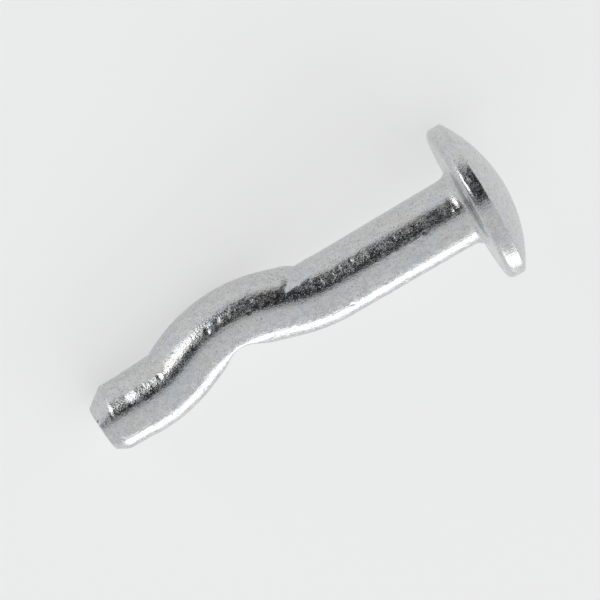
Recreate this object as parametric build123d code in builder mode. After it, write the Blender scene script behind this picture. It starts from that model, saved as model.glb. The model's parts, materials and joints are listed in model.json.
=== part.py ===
"""Pre-bent hammer-drive anchor: one length of steel wire, cold headed, pressed into a hump and pointed.

The anchor is first formed in the wire's own frame: the shank lies along X with the head at +X, the
underside of the head is at X = 0, and the hump rises towards +Z in the XZ plane. It is then laid on a
table top (Z = 0) as it comes to rest, on the rim of its head, the side of its hump and its lead.
Sizes are in millimetres and angles in degrees.
"""
from build123d import *
import os
from math import atan2, cos, hypot, pi, radians, sin, sqrt, tan

# Wire and overall length
wire_diameter = 6.40
length_under_head = 38.1
# Mushroom head
head_diameter = 15.16
head_height = 3.88
dome_radius = 13.6
under_edge_radius = 0.65
dome_edge_radius = 0.35
neck_fillet = 1.15
neck_growth = 0.18  # how much thicker than the wire the shank is where it meets the head
# Hump, as the corners of the bent wire's centre line and the bend radius at each corner
rise_run = 8.45
hump_rise = 2.555
fall_run = 7.12
lead_drop = 0.337
rise_bend_radius = 14.4
crest_bend_radius = 12.3
fall_bend_radius = 12.3
# Notch that the bending nose leaves under the hump
nose_shift = 0.2  # from the crest corner towards the head
nose_bite = 0.68  # how deep it bites into the wire
nose_radius = 2.55
nose_flank_angle = 10.8  # how much steeper than the wire beside it each flank of the nose is
nose_edge_radius = 0.25
# Creases that the edges of the upper die leave at the two ends of the hump
head_crease_shift = 0.5  # from the first corner towards the tip
head_crease_gap = 0.04
head_crease_slope = 34.0
tip_crease_shift = 0.05  # from the last corner towards the tip
tip_crease_gap = 0.10
tip_crease_slope = 29.0
# Lead and point
lead_length = 7.03  # from the last corner to the end of the wire
lead_relief = 0.16  # how much thinner than the wire the lead is
lead_straight = 0.2
lead_taper = 0.9
end_diameter = 4.30
point_slope = 33.0
point_tilt = 4.0  # the point leans a little away from the hump's side
point_pivot = 5.2  # from the end of the wire to where its leaning axis meets the lead's axis
point_edge_radius = 0.6
end_edge_radius = 0.15

# Radii that several features share
wire_radius = wire_diameter / 2
neck_radius = (wire_diameter + neck_growth) / 2
lead_radius = (wire_diameter - lead_relief) / 2
rim_radius = head_diameter / 2
end_radius = end_diameter / 2
clear = wire_diameter  # a reach that is outside the wire all round

# Corners of the centre line, from the tip back to the head
tip_x = -length_under_head
last_x = tip_x + lead_length
crest_x = last_x + fall_run
first_x = crest_x + rise_run
rise_turn = atan2(hump_rise, rise_run)
fall_turn = atan2(hump_rise + lead_drop, fall_run)
bend_begins = first_x + rise_bend_radius * tan(rise_turn / 2)
lead_begins = last_x - fall_bend_radius * tan(fall_turn / 2) - lead_straight
lead_axis = Axis((0, 0, -lead_drop), (1, 0, 0))

with BuildPart() as formed_wire:
    # The wire through its three bends, running on a little way inside the shank
    with BuildLine(Plane.XZ) as centre_line:
        FilletPolyline(
            (bend_begins + lead_straight, 0),
            (first_x, 0),
            (crest_x, hump_rise),
            (last_x, -lead_drop),
            (lead_begins, -lead_drop),
            radius=[rise_bend_radius, crest_bend_radius, fall_bend_radius],
        )
    with BuildSketch(Plane(centre_line.line @ 0, z_dir=centre_line.line % 0)):
        Circle(wire_radius)
    sweep(path=centre_line.line)
    crest_arc = centre_line.edges().filter_by(GeomType.CIRCLE).sort_by(Axis.X)[1]
    crest_height = crest_arc.arc_center.Z + crest_bend_radius

    # Shank, thickening towards the head, and its buried end
    with BuildSketch(Plane.XZ):
        with BuildLine():
            Polyline(
                (bend_begins, 0),
                (bend_begins, wire_radius),
                (0, neck_radius),
                (neck_fillet, neck_radius),
                (neck_fillet, 0),
                close=True,
            )
        make_face()
    revolve(axis=Axis.X)

    # Lead, a little thinner than the wire, left long for the point to be cut
    with BuildSketch(Plane.XZ):
        with BuildLine():
            Polyline(
                (lead_begins, -lead_drop),
                (lead_begins, wire_radius - lead_drop),
                (lead_begins - lead_taper, lead_radius - lead_drop),
                (tip_x - end_radius, lead_radius - lead_drop),
                (tip_x - end_radius, -lead_drop),
                close=True,
            )
        make_face()
    revolve(axis=lead_axis)

    # Crease at the head end of the hump: the die grips the shank and flares out to the hump
    head_crease_x = first_x - head_crease_shift
    head_grip = wire_radius + head_crease_gap
    with BuildSketch(Plane.XZ):
        with BuildLine():
            Polyline(
                (bend_begins, head_grip),
                (head_crease_x, head_grip),
                (head_crease_x - (clear - head_grip) / tan(radians(head_crease_slope)), clear),
                (bend_begins, clear),
                close=True,
            )
        make_face()
    revolve(axis=Axis.X, mode=Mode.SUBTRACT)

    # Crease at the tip end of the hump, round the lead's axis
    tip_crease_x = last_x - tip_crease_shift
    tip_grip = wire_radius + tip_crease_gap
    with BuildSketch(Plane.XZ):
        with BuildLine():
            Polyline(
                (lead_begins, tip_grip - lead_drop),
                (tip_crease_x, tip_grip - lead_drop),
                (tip_crease_x + (clear - tip_grip) / tan(radians(tip_crease_slope)), clear - lead_drop),
                (lead_begins, clear - lead_drop),
                close=True,
            )
        make_face()
    revolve(axis=lead_axis, mode=Mode.SUBTRACT)

    # Notch of the bending nose, straight across the underside of the hump
    nose_x = crest_x + nose_shift
    head_flank = rise_turn + radians(nose_flank_angle)
    tip_flank = fall_turn + radians(nose_flank_angle)
    half_sum = (head_flank + tip_flank) / 2
    half_difference = (tip_flank - head_flank) / 2
    rounded_off = nose_radius * (cos(half_difference) / cos(half_sum) - 1)
    nose_top = crest_height - wire_radius + nose_bite + rounded_off
    nose_foot = nose_top - 2 * clear
    with BuildSketch(Plane.XZ) as nose:
        with BuildLine():
            Polyline(
                (nose_x, nose_top),
                (nose_x + 2 * clear / tan(head_flank), nose_foot),
                (nose_x - 2 * clear / tan(tip_flank), nose_foot),
                close=True,
            )
        make_face()
        fillet(nose.vertices().sort_by(Axis.Y)[-1], nose_radius)
    extrude(amount=clear, both=True, mode=Mode.SUBTRACT)
    flanks = formed_wire.faces().filter_by(GeomType.PLANE).filter_by(Axis.X, reverse=True)
    fillet(flanks.edges().filter_by(GeomType.LINE, reverse=True), nose_edge_radius)

    # Point: a cone about a leaning axis, with a flat end
    lean = radians(point_tilt)
    point_frame = Plane((tip_x + point_pivot, 0, -lead_drop), x_dir=(cos(lean), 0, sin(lean)), z_dir=(0, -1, 0))
    point_end = end_radius * tan(lean) - point_pivot
    with BuildSketch(point_frame):
        with BuildLine():
            Polyline(
                (point_end, 0),
                (point_end, end_radius),
                (point_end + (clear - end_radius) / tan(radians(point_slope)), clear),
                (-2 * clear, clear),
                (-2 * clear, 0),
                close=True,
            )
        make_face()
    revolve(axis=Axis(point_frame.origin, point_frame.x_dir), mode=Mode.SUBTRACT)
    end_face = formed_wire.faces().sort_by(Axis.X)[0]
    fillet(end_face.edges(), end_edge_radius)
    point_cone = formed_wire.faces().filter_by(GeomType.CONE).sort_by(Axis.X)[0]
    fillet(point_cone.edges().sort_by(Axis.X)[-1], point_edge_radius)

    # Head: a low dome on a plain rim, rounded at both its edges
    rim_height = head_height - (dome_radius - sqrt(dome_radius**2 - rim_radius**2))
    with BuildSketch(Plane.XZ) as head_half:
        with BuildLine():
            Polyline((head_height, 0), (0, 0), (0, rim_radius), (rim_height, rim_radius))
            RadiusArc((rim_height, rim_radius), (head_height, 0), dome_radius)
        make_face()
        fillet(head_half.vertices().sort_by_distance((0, rim_radius, 0))[0], under_edge_radius)
        fillet(head_half.vertices().sort_by_distance((rim_height, rim_radius, 0))[0], dome_edge_radius)
    revolve(axis=Axis.X)
    neck_circles = formed_wire.edges().filter_by(GeomType.CIRCLE).sort_by_distance((0, 0, -neck_radius))
    fillet(neck_circles[0], neck_fillet)


# The anchor rests where its rim, its crest bend and the start of its point reach equally far down.
# Each of the next three gives how far one of them reaches along a direction, from the origin.
point_start = Vector(tip_x + (lead_radius - end_radius) / tan(radians(point_slope)), 0, -lead_drop)


def rim_reach(way):
    ring_radius = rim_radius - under_edge_radius
    return under_edge_radius * (way.X + 1) + ring_radius * hypot(way.Y, way.Z)


def crest_reach(way, centre=crest_arc.arc_center):
    return centre.dot(way) + crest_bend_radius * hypot(way.X, way.Z) + wire_radius


def point_reach(way):
    return point_start.dot(way) + lead_radius * hypot(way.Y, way.Z)


def way_down(pitch, roll):
    """The downward direction, with the head end pitched up and the hump rolled off straight down."""
    return Vector(-sin(pitch), cos(pitch) * sin(roll), cos(pitch) * cos(roll))


def balance(low, high, difference):
    """The value between low and high where the rising difference passes through zero."""
    for _ in range(40):
        middle = (low + high) / 2
        if difference(middle) < 0:
            low = middle
        else:
            high = middle
    return (low + high) / 2


def level(roll):
    """The downward direction at which the rim and the point both touch, for a given roll."""

    def point_below_rim(pitch):
        way = way_down(pitch, roll)
        return point_reach(way) - rim_reach(way)

    return way_down(balance(0, pi / 4, point_below_rim), roll)


rest_roll = balance(0, pi / 2, lambda roll: rim_reach(level(roll)) - crest_reach(level(roll)))
up = level(rest_roll) * -1
along = Vector(-1, 0, 0)  # from the head towards the tip
table_top = Plane((0, 0, 0), x_dir=along - up * up.dot(along), z_dir=up)
laid_wire = table_top.to_local_coords(formed_wire.part)
laid_box = laid_wire.bounding_box()

with BuildPart() as drive_anchor:
    with Locations((-laid_box.center().X, -laid_box.center().Y, -laid_box.min.Z)):
        add(laid_wire)
drive_anchor.part.label = "drive_anchor"

os.makedirs("parts", exist_ok=True)
export_step(drive_anchor.part, "parts/drive_anchor.step")
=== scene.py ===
"""A pre-bent hammer-drive anchor in zinc-plated steel, lying on a pale floor.

The visible anchor is one finely divided skin in the CAD solid's place. It is made in the wire's own frame: in
millimetres, with the shank along X, the head at +X and its underside at X = 0, and the hump rising towards
+Z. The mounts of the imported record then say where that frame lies.
"""
import json
import math

import bpy
import numpy as np
from mathutils import Matrix, Vector, noise


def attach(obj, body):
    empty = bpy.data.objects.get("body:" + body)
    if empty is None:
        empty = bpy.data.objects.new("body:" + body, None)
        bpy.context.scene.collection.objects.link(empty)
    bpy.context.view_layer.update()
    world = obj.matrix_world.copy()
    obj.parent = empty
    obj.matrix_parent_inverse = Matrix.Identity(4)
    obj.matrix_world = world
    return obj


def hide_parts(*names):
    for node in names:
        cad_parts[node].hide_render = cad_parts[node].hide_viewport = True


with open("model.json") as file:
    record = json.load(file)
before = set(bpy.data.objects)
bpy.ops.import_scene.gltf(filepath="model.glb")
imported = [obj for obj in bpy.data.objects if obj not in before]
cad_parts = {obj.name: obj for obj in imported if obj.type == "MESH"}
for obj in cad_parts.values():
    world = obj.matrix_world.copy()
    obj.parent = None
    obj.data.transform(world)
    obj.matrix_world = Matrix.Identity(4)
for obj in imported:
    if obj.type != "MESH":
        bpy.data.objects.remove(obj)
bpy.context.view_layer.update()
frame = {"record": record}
mounts = {mount["name"]: mount for mount in frame["record"]["mounts"]}
scene = bpy.context.scene
MM = 0.001

# ---------------------------------------------------------------- sizes, in millimetres and degrees
WIRE_RADIUS = 3.20
NECK_RADIUS = 3.29
NECK_FILLET = 1.15
LEAD_RADIUS = 3.12
LENGTH_UNDER_HEAD = 38.1

RIM_RADIUS = 7.58
HEAD_HEIGHT = 3.88
DOME_RADIUS = 13.6
UNDER_EDGE_RADIUS = 0.65
DOME_EDGE_RADIUS = 0.35

RISE_RUN = 8.45
HUMP_RISE = 2.555
FALL_RUN = 7.12
LEAD_DROP = 0.337
LEAD_LENGTH = 7.03
BEND_RADII = (14.4, 12.3, 12.3)
LEAD_STRAIGHT = 0.2
LEAD_TAPER = 0.9

NOSE_SHIFT = 0.2
NOSE_BITE = 0.68
NOSE_RADIUS = 2.55
NOSE_FLANK_ANGLE = 10.8

HEAD_CREASE_SHIFT = 0.5
HEAD_CREASE_GAP = 0.04
HEAD_CREASE_SLOPE = 34.0
TIP_CREASE_SHIFT = 0.05
TIP_CREASE_GAP = 0.10
TIP_CREASE_SLOPE = 29.0

# how widely the skin turns from one surface to the next
HEAD_CREASE_ROUND = 0.07
TIP_CREASE_ROUND = 0.18
NOSE_EDGE_ROUND = 0.14
POINT_EDGE_ROUND = 0.16
END_EDGE_ROUND = 0.09

# how far each die's mouth curls back down the wire's side, and the angles from the crest where its grip fades
HEAD_MOUTH_CURL = 3.4
HEAD_GRIP_FADE = (44, 80)
TIP_MOUTH_CURL = 1.2
TIP_GRIP_FADE = (55, 85)
GRIP_FADE_DEPTH = 0.4

END_RADIUS = 2.15
POINT_SLOPE = 33.0
POINT_TILT = 4.0
POINT_PIVOT = 5.2

# corners of the centre line, from the head to the tip
TIP_X = -LENGTH_UNDER_HEAD
LAST_X = TIP_X + LEAD_LENGTH
CREST_X = LAST_X + FALL_RUN
FIRST_X = CREST_X + RISE_RUN
CORNERS = np.array([(0, 0), (FIRST_X, 0), (CREST_X, HUMP_RISE), (LAST_X, -LEAD_DROP), (TIP_X, -LEAD_DROP)])
RISE_TURN = math.atan2(HUMP_RISE, RISE_RUN)
FALL_TURN = math.atan2(HUMP_RISE + LEAD_DROP, FALL_RUN)
BEND_BEGINS = FIRST_X + BEND_RADII[0] * math.tan(RISE_TURN / 2)
LEAD_BEGINS = LAST_X - BEND_RADII[2] * math.tan(FALL_TURN / 2) - LEAD_STRAIGHT

# the floor's own paleness, and its share of what the camera and the metal see of the floor
FLOOR_GLOW = 0.99
FLOOR_SHARE = 0.56

# how finely the skin is divided, and how far from the end the rays that make the point start
SEGMENTS = 144
RING_STEP = 0.11
POINT_REACH = 2.6
POINT_RINGS = 72

# the camera: its lean and what it looks at in the wire's frame, and the width it sees there
VIEW_LEAN = 30.4
VIEW_CENTRE = (-17.0, 0, 0.329)
VIEW_WIDTH = 53.35

# the wire's frame, as the mounts place it
TO_HEAD = -Vector(mounts["shank"]["axis"]).normalized()
TO_CREST = Vector(mounts["hump"]["axis"]).normalized()
TO_CAMERA = TO_HEAD.cross(TO_CREST).normalized()
UNDER_HEAD = Vector(mounts["shank"]["pos_m"]) - TO_HEAD * BEND_BEGINS * MM / 2
WIRE_FRAME = Matrix.Translation(UNDER_HEAD) @ Matrix((TO_HEAD, -TO_CAMERA, TO_CREST)).transposed().to_4x4()


def place(x, y, z):
    """A point of the wire's frame, in millimetres, as a point of the scene, in metres."""
    return WIRE_FRAME @ Vector((x * MM, y * MM, z * MM))


# ---------------------------------------------------------------- the anchor's skin
def centre_line():
    """Points and headings of the wire's centre line in the XZ plane, from the neck to where the point starts."""
    points = []
    headings = []
    start = np.array((-NECK_FILLET, 0.0))
    for i in range(1, 5):
        before = CORNERS[i] - CORNERS[i - 1]
        before = before / np.linalg.norm(before)
        if i == 4:
            stop = CORNERS[4] - before * POINT_REACH
        else:
            after = CORNERS[i + 1] - CORNERS[i]
            after = after / np.linalg.norm(after)
            turn = math.acos(before @ after)
            side = math.copysign(1, before[0] * after[1] - before[1] * after[0])
            stop = CORNERS[i] - before * BEND_RADII[i - 1] * math.tan(turn / 2)
        count = max(2, round(np.linalg.norm(stop - start) / RING_STEP))
        for t in np.arange(count) / count:
            points.append(start + (stop - start) * t)
            headings.append(before)
        if i == 4:
            points.append(stop)
            headings.append(before)
            break
        radius = BEND_RADII[i - 1]
        centre = stop + side * radius * np.array((-before[1], before[0]))
        count = max(2, round(radius * turn / RING_STEP))
        for t in np.arange(count) / count:
            c, s = math.cos(side * turn * t), math.sin(side * turn * t)
            spin = np.array(((c, -s), (s, c)))
            points.append(centre + spin @ (stop - centre))
            headings.append(spin @ before)
        start = CORNERS[i] + after * radius * math.tan(turn / 2)
    return np.array(points), np.array(headings)


def smooth_max(a, b, width):
    """The larger of a and b, rounded over where they cross."""
    near = np.maximum(width - np.abs(a - b), 0)
    return np.maximum(a, b) + near**2 / (4 * width)


CREST_HEIGHT = HUMP_RISE - BEND_RADII[1] * (
    math.cos((RISE_TURN - FALL_TURN) / 2) / math.cos((RISE_TURN + FALL_TURN) / 2) - 1
)


def smooth_step(value, low, high):
    t = np.clip((value - low) / (high - low), 0, 1)
    return t * t * (3 - 2 * t)


def nose_height(x):
    """Height of the bending nose's surface above the shank's axis."""
    head_flank = RISE_TURN + math.radians(NOSE_FLANK_ANGLE)
    tip_flank = FALL_TURN + math.radians(NOSE_FLANK_ANGLE)
    half_sum = (head_flank + tip_flank) / 2
    half_difference = (tip_flank - head_flank) / 2
    middle = CREST_X + NOSE_SHIFT + NOSE_RADIUS / math.cos(half_sum) * math.sin(half_difference)
    away = np.abs(x - middle)
    slope = np.where(x > middle, head_flank, tip_flank)
    reach = NOSE_RADIUS * np.sin(slope)
    top = CREST_HEIGHT - WIRE_RADIUS + NOSE_BITE
    on_arc = top - NOSE_RADIUS + np.sqrt(NOSE_RADIUS**2 - np.minimum(away, reach) ** 2)
    return on_arc - np.maximum(away - reach, 0) * np.tan(slope)


def past_die(along, y, z, gap, slope, curl, fade_angles):
    """How far a point stands outside a round die. The die grips the wire up to its mouth at along = 0 and flares
    open past it. The mouth curls back down the wire's sides, and the grip fades out there."""
    off = np.hypot(y, z) + 1e-9
    side = 1 - np.clip(z / off, 0, 1)
    flare = np.maximum(along - curl * side, 0) * math.tan(math.radians(slope))
    fade_from, fade_to = (1 - math.cos(math.radians(angle)) for angle in fade_angles)
    fade = GRIP_FADE_DEPTH * smooth_step(side, fade_from, fade_to)
    return off - WIRE_RADIUS - gap - flare - fade


def body_excess(x, y, z, tube):
    """Above zero outside the formed wire and below zero inside it. tube is the plain wire's own excess."""
    head_gap = HEAD_CREASE_GAP + 0.1 * np.maximum(x - BEND_BEGINS + 1, 0)
    head_along = FIRST_X - HEAD_CREASE_SHIFT - x
    tip_along = x - LAST_X + TIP_CREASE_SHIFT
    head_die = past_die(head_along, y, z, head_gap, HEAD_CREASE_SLOPE, HEAD_MOUTH_CURL, HEAD_GRIP_FADE)
    tip_die = past_die(
        tip_along, y, z + LEAD_DROP, TIP_CREASE_GAP, TIP_CREASE_SLOPE, TIP_MOUTH_CURL, TIP_GRIP_FADE
    )
    excess = smooth_max(tube, head_die, HEAD_CREASE_ROUND)
    excess = smooth_max(excess, tip_die, TIP_CREASE_ROUND)
    return smooth_max(excess, nose_height(x) - z, NOSE_EDGE_ROUND)


def point_excess(x, y, z):
    """The same at the tip: the lead, the point's leaning cone and its small flat end."""
    lean = math.radians(POINT_TILT)
    down_x = x - (TIP_X + POINT_PIVOT)
    down_z = z + LEAD_DROP
    along = -down_x * math.cos(lean) - down_z * math.sin(lean)
    across = -down_x * math.sin(lean) + down_z * math.cos(lean)
    slope = math.radians(POINT_SLOPE)
    end = POINT_PIVOT - END_RADIUS * math.tan(lean)
    cone = (np.hypot(y, across) - END_RADIUS - (end - along) * math.tan(slope)) * math.cos(slope)
    lead = np.hypot(y, down_z) - LEAD_RADIUS
    return smooth_max(smooth_max(lead, cone, POINT_EDGE_ROUND), along - end, END_EDGE_ROUND)


def reach(origin, direction, limit, excess):
    """How far along each ray the surface lies, by halving."""
    low = np.zeros(direction.shape[:-1])
    high = np.full(direction.shape[:-1], float(limit))
    for _ in range(26):
        middle = (low + high) / 2
        p = origin + direction * middle[..., None]
        inside = excess(p[..., 0], p[..., 1], p[..., 2], middle) < 0
        low = np.where(inside, middle, low)
        high = np.where(inside, high, middle)
    return origin + direction * ((low + high) / 2)[..., None]


def arc_points(x, r, radius, start, stop, count):
    """Points of a profile's rounding, in (x, r), leaving out its first."""
    angles = np.radians(start + (stop - start) * np.arange(1, count + 1) / count)
    return [(x + radius * math.cos(a), r + radius * math.sin(a)) for a in angles]


def head_profile():
    """(x, r) from the crown to the neck."""
    dome_x = HEAD_HEIGHT - DOME_RADIUS
    edge_r = RIM_RADIUS - DOME_EDGE_RADIUS
    edge_x = dome_x + math.sqrt((DOME_RADIUS - DOME_EDGE_RADIUS) ** 2 - edge_r**2)
    edge_angle = math.degrees(math.atan2(edge_r, edge_x - dome_x))
    profile = arc_points(dome_x, 0, DOME_RADIUS, 0, edge_angle, 74)
    profile += arc_points(edge_x, edge_r, DOME_EDGE_RADIUS, edge_angle, 90, 8)
    low_x = UNDER_EDGE_RADIUS
    profile += [(edge_x + (low_x - edge_x) * t, RIM_RADIUS) for t in np.arange(1, 9) / 8]
    profile += arc_points(low_x, RIM_RADIUS - UNDER_EDGE_RADIUS, UNDER_EDGE_RADIUS, 90, 180, 14)
    flat_from, flat_to = RIM_RADIUS - UNDER_EDGE_RADIUS, NECK_RADIUS + NECK_FILLET
    profile += [(0.0, flat_from + (flat_to - flat_from) * t) for t in np.arange(1, 17) / 16]
    profile += arc_points(-NECK_FILLET, flat_to, NECK_FILLET, 0, -90, 16)[:-1]
    return profile


def anchor_rings():
    """The skin's rings from crown to tip as (points, straightened places), in millimetres."""
    turn = np.linspace(0, 2 * math.pi, SEGMENTS, endpoint=False)
    cos_turn, sin_turn = np.cos(turn), np.sin(turn)
    rings, straight = [], []
    for x, r in head_profile():
        ring = np.stack((np.full(SEGMENTS, x), r * sin_turn, r * cos_turn), axis=-1)
        rings.append(ring)
        straight.append(ring)
    points, headings = centre_line()
    lengths = np.concatenate(((0,), np.cumsum(np.linalg.norm(np.diff(points, axis=0), axis=1)))) + NECK_FILLET
    x = points[:, 0]
    radii = WIRE_RADIUS + (NECK_RADIUS - WIRE_RADIUS) * np.clip(1 - x / BEND_BEGINS, 0, 1)
    radii -= (WIRE_RADIUS - LEAD_RADIUS) * np.clip((LEAD_BEGINS - x) / LEAD_TAPER, 0, 1)
    out = np.stack((headings[:, 1], np.zeros(len(x)), -headings[:, 0]), axis=-1)
    origin = np.stack((points[:, 0], np.zeros(len(x)), points[:, 1]), axis=-1)[:, None, :]
    across = np.array((0.0, 1.0, 0.0))
    direction = out[:, None, :] * cos_turn[None, :, None] + across * sin_turn[None, :, None]
    surface = reach(
        origin, direction, WIRE_RADIUS + 0.3,
        lambda px, py, pz, r: body_excess(px, py, pz, r - radii[:, None]),
    )
    for i in range(len(x)):
        rings.append(surface[i])
        r = np.linalg.norm(surface[i] - origin[i], axis=-1)
        straight.append(np.stack((np.full(SEGMENTS, -lengths[i]), r * sin_turn, r * cos_turn), axis=-1))
    tilt = np.radians(np.linspace(0, 90, POINT_RINGS + 2))[1:-1]
    middle = np.array((TIP_X + POINT_REACH, 0.0, -LEAD_DROP))
    round_about = np.stack((np.zeros(SEGMENTS), sin_turn, cos_turn), axis=-1)
    head_way = np.array((1.0, 0, 0))
    fan = np.cos(tilt)[:, None, None] * round_about[None] - np.sin(tilt)[:, None, None] * head_way
    surface = reach(middle, fan, 6.0, lambda px, py, pz, r: point_excess(px, py, pz))
    for ring in surface:
        rings.append(ring)
        straight.append(ring - middle + np.array((-lengths[-1], 0.0, 0.0)))
    return np.array(rings), np.array(straight)


def wear(straight):
    """How deep forming and handling have marked the skin at each point, in millimetres."""
    depth = np.zeros(len(straight))
    for i, spot in enumerate(straight):
        p = Vector(spot)
        wave = noise.noise(p * 0.45) * 0.5 + 0.5
        dent = max(noise.noise(p * 1.7 + Vector((31, 7, 3))) - 0.42, 0)
        nick = max(noise.noise(p * 4.3 + Vector((5, 17, 41))) - 0.5, 0)
        depth[i] = 0.010 * wave + 0.16 * dent + 0.10 * nick
    return depth


def make_anchor():
    rings, straight = anchor_rings()
    count = len(rings)
    flat = rings.reshape(-1, 3)
    flat_straight = straight.reshape(-1, 3)
    along = np.gradient(rings, axis=0)
    around = (np.roll(rings, -1, axis=1) - np.roll(rings, 1, axis=1)) / 2
    normals = np.cross(around, along)
    normals /= np.linalg.norm(normals, axis=-1, keepdims=True)
    normals = normals.reshape(-1, 3)
    depth = wear(flat_straight)
    flat = flat - normals * depth[:, None]
    crown = (HEAD_HEIGHT - 0.006, 0, 0)
    points = np.vstack((flat, (crown,), (flat[-SEGMENTS:].mean(axis=0),)))
    rest = np.vstack((flat_straight, ((HEAD_HEIGHT, 0, 0),), ((-LENGTH_UNDER_HEAD, 0, 0),)))
    faces = []
    for i in range(count - 1):
        for j in range(SEGMENTS):
            k = (j + 1) % SEGMENTS
            faces.append((i * SEGMENTS + j, (i + 1) * SEGMENTS + j, (i + 1) * SEGMENTS + k, i * SEGMENTS + k))
    last = (count - 1) * SEGMENTS
    for j in range(SEGMENTS):
        k = (j + 1) % SEGMENTS
        faces.append((len(flat), j, k))
        faces.append((len(flat) + 1, last + k, last + j))
    mesh = bpy.data.meshes.new("anchor_skin")
    mesh.from_pydata([place(*p) for p in points], [], faces)
    mesh.validate()
    attribute = mesh.attributes.new("straightened", "FLOAT_VECTOR", "POINT")
    attribute.data.foreach_set("vector", rest.astype(np.float32).ravel())
    mesh.polygons.foreach_set("use_smooth", [True] * len(mesh.polygons))
    mesh.update()
    anchor = bpy.data.objects.new("anchor", mesh)
    scene.collection.objects.link(anchor)
    return anchor


# ---------------------------------------------------------------- materials
class Graph:
    """A short way to write a material's or world's nodes."""

    def __init__(self, tree):
        self.tree = tree

    def add(self, kind, settings=None, **inputs):
        node = self.tree.nodes.new(kind)
        for name, value in (settings or {}).items():
            setattr(node, name, value)
        for name, value in inputs.items():
            self.set(node, name, value)
        return node

    def set(self, node, name, value):
        numbered = name[0] == "i" and name[1:].isdigit()
        socket = node.inputs[int(name[1:]) if numbered else name.replace("_", " ")]
        if isinstance(value, bpy.types.NodeSocket):
            self.tree.links.new(value, socket)
        else:
            socket.default_value = value

    def math(self, operation, a, b=0.0, clamp=False):
        node = self.add("ShaderNodeMath", {"operation": operation, "use_clamp": clamp}, i0=a, i1=b)
        return node.outputs[0]

    def dot(self, a, b):
        node = self.add("ShaderNodeVectorMath", {"operation": "DOT_PRODUCT"}, i0=a, i1=tuple(b))
        return node.outputs["Value"]

    def span(self, value, low, high, to_low=0.0, to_high=1.0):
        node = self.add(
            "ShaderNodeMapRange", {"interpolation_type": "SMOOTHSTEP"},
            Value=value, From_Min=low, From_Max=high, To_Min=to_low, To_Max=to_high,
        )
        return node.outputs[0]

    def mix(self, factor, a, b):
        node = self.add("ShaderNodeMix", {"data_type": "RGBA"})
        self.set(node, "Factor", factor)
        for socket, value in ((node.inputs[6], a), (node.inputs[7], b)):
            if isinstance(value, bpy.types.NodeSocket):
                self.tree.links.new(value, socket)
            else:
                socket.default_value = (*value, 1)
        return node.outputs[2]

    def noise(self, place, scale, detail=2.0, rough=0.5, stretch=(1, 1, 1), shift=(0, 0, 0)):
        moved = self.add("ShaderNodeMapping", Vector=place, Scale=stretch, Location=shift)
        node = self.add(
            "ShaderNodeTexNoise", Vector=moved.outputs[0], Scale=scale, Detail=detail, Roughness=rough
        )
        return node.outputs[0]


def zinc_plated_steel():
    material = bpy.data.materials.new("zinc_plated_steel")
    material.use_nodes = True
    tree = material.node_tree
    tree.nodes.clear()
    g = Graph(tree)
    spot = g.add("ShaderNodeAttribute", {"attribute_name": "straightened"}).outputs["Vector"]
    patch = g.noise(spot, 0.55, 3.0)
    mottle = g.noise(spot, 1.6, 3.0, 0.6, shift=(11, 3, 7))
    grain = g.noise(spot, 5.0, 3.0, 0.65, shift=(2, 19, 5))
    speck = g.noise(spot, 9.0, 1.0, 0.5, shift=(7, 1, 29))
    streak = g.noise(spot, 1.0, 4.0, 0.6, stretch=(0.16, 3.6, 3.6))
    pit = g.span(g.noise(spot, 6.5, 1.0, shift=(23, 5, 2)), 0.33, 0.27)

    texture = g.math("ADD", g.math("MULTIPLY", grain, 0.6), g.math("MULTIPLY", mottle, 0.4))
    bright = g.mix(g.span(texture, 0.40, 0.60), (0.55, 0.56, 0.565), (0.71, 0.715, 0.71))
    cool = g.mix(g.math("MULTIPLY", g.span(patch, 0.5, 0.66), 0.30), bright, (0.58, 0.65, 0.73))
    warm = g.mix(g.math("MULTIPLY", g.span(patch, 0.46, 0.33), 0.22), cool, (0.64, 0.605, 0.555))
    colour = g.mix(g.math("MULTIPLY", pit, 0.65), warm, (0.16, 0.15, 0.14))

    rough = g.span(mottle, 0.3, 0.7, 0.15, 0.27)
    rough = g.math("ADD", rough, g.span(streak, 0.3, 0.7, -0.03, 0.05))
    rough = g.math("ADD", rough, g.span(grain, 0.35, 0.65, -0.05, 0.09))

    height = g.math("ADD", g.math("MULTIPLY", grain, 0.6), g.math("MULTIPLY", speck, 0.25))
    height = g.math("ADD", height, g.math("MULTIPLY", streak, 0.35))
    height = g.math("ADD", height, g.math("MULTIPLY", mottle, 0.5))
    height = g.math("SUBTRACT", height, g.math("MULTIPLY", pit, 0.5))
    bump = g.add("ShaderNodeBump", Height=height, Distance=0.00003, Strength=1.0)
    shader = g.add(
        "ShaderNodeBsdfPrincipled", Base_Color=colour, Metallic=1.0, Roughness=rough, Normal=bump.outputs[0]
    )
    out = g.add("ShaderNodeOutputMaterial", Surface=shader.outputs[0])
    return material


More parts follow.
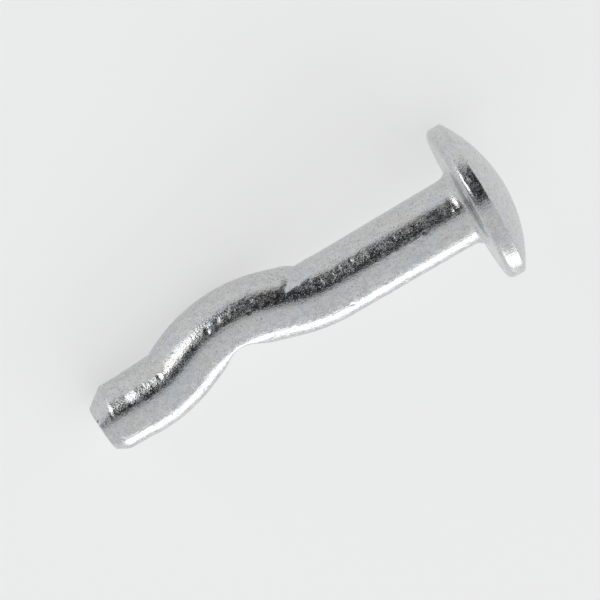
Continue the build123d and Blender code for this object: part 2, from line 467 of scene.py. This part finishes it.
def pale_floor():
    material = bpy.data.materials.new("pale_floor")
    material.use_nodes = True
    tree = material.node_tree
    tree.nodes.clear()
    g = Graph(tree)
    spot = g.add("ShaderNodeTexCoord").outputs["Object"]
    tooth = g.noise(spot, 900.0, 3.0)
    bump = g.add("ShaderNodeBump", Height=tooth, Distance=0.00002, Strength=0.3)
    paper = g.add("ShaderNodeBsdfDiffuse", Color=(0.93, 0.93, 0.93, 1), Normal=bump.outputs[0])
    glow = g.add("ShaderNodeEmission", Color=(1, 1, 1, 1), Strength=FLOOR_GLOW)
    path = g.add("ShaderNodeLightPath")
    seen = g.math("MAXIMUM", path.outputs["Is Camera Ray"], path.outputs["Is Glossy Ray"])
    seen = g.math("MAXIMUM", seen, path.outputs["Is Transmission Ray"])
    blend = g.add("ShaderNodeMixShader", i0=g.math("MULTIPLY", seen, FLOOR_SHARE))
    tree.links.new(paper.outputs[0], blend.inputs[1])
    tree.links.new(glow.outputs[0], blend.inputs[2])
    g.add("ShaderNodeOutputMaterial", Surface=blend.outputs[0])
    return material



# ---------------------------------------------------------------- studio
def studio_world(sky, dark, edge_from, edge_to):
    """A pale half of the studio above and behind the anchor, and a dark half on the camera's side. They meet
    along a line beside the shank, between edge_from and edge_to degrees above the camera as the anchor sees it."""
    world = bpy.data.worlds.new("studio")
    world.use_nodes = True
    tree = world.node_tree
    tree.nodes.clear()
    g = Graph(tree)
    way = g.add("ShaderNodeTexCoord").outputs["Generated"]
    above = g.dot(way, -TO_CREST)
    ahead = g.dot(way, TO_CAMERA)
    angle = g.math("ARCTAN2", above, ahead)
    lit = g.span(angle, math.radians(edge_from), math.radians(edge_to))
    colour = g.mix(lit, dark, sky)
    back = g.add("ShaderNodeBackground", Color=colour, Strength=1.0)
    g.add("ShaderNodeOutputWorld", Surface=back.outputs[0])
    scene.world = world


def soft_light(name, way, distance, size, power, colour=(1, 1, 1)):
    """A square area light that way from the anchor, facing it."""
    light = bpy.data.lights.new(name, "AREA")
    light.shape = "RECTANGLE"
    light.size, light.size_y = size
    light.energy = power
    light.color = colour
    lamp = bpy.data.objects.new(name, light)
    way = Vector(way).normalized()
    lamp.matrix_world = Matrix.Translation(way * distance) @ way.to_track_quat("Z", "Y").to_matrix().to_4x4()
    scene.collection.objects.link(lamp)
    return lamp


def camera():
    """Looks straight at the bend plane, with the shank leaning up to the right."""
    data = bpy.data.cameras.new("camera")
    data.sensor_width = 36
    data.lens = 200
    lean = math.radians(VIEW_LEAN)
    right = TO_HEAD * math.cos(lean) - TO_CREST * math.sin(lean)
    up = TO_HEAD * math.sin(lean) + TO_CREST * math.cos(lean)
    distance = VIEW_WIDTH * MM * data.lens / data.sensor_width
    at = place(*VIEW_CENTRE) + TO_CAMERA * distance
    data.clip_start = 0.01
    eye = bpy.data.objects.new("camera", data)
    eye.matrix_world = Matrix.Translation(at) @ Matrix((right, up, TO_CAMERA)).transposed().to_4x4()
    scene.collection.objects.link(eye)
    scene.camera = eye


anchor = make_anchor()
anchor.data.materials.append(zinc_plated_steel())
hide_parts("drive_anchor")
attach(anchor, "root")

bpy.ops.mesh.primitive_plane_add(size=6, location=(0, 0, 0))
floor = bpy.context.active_object
floor.name = "floor"
floor.data.materials.append(pale_floor())

studio_world(sky=(0.70, 0.71, 0.72), dark=(0.022, 0.022, 0.025), edge_from=7, edge_to=11)
soft_light("back", (0.0, 0.80, 0.32), 0.6, (0.80, 0.26), 1.12)
soft_light("tip_side", (0.44, -0.86, 0.24), 0.4, (0.18, 0.15), 0.30)
camera()
scene.view_settings.view_transform = "Standard"
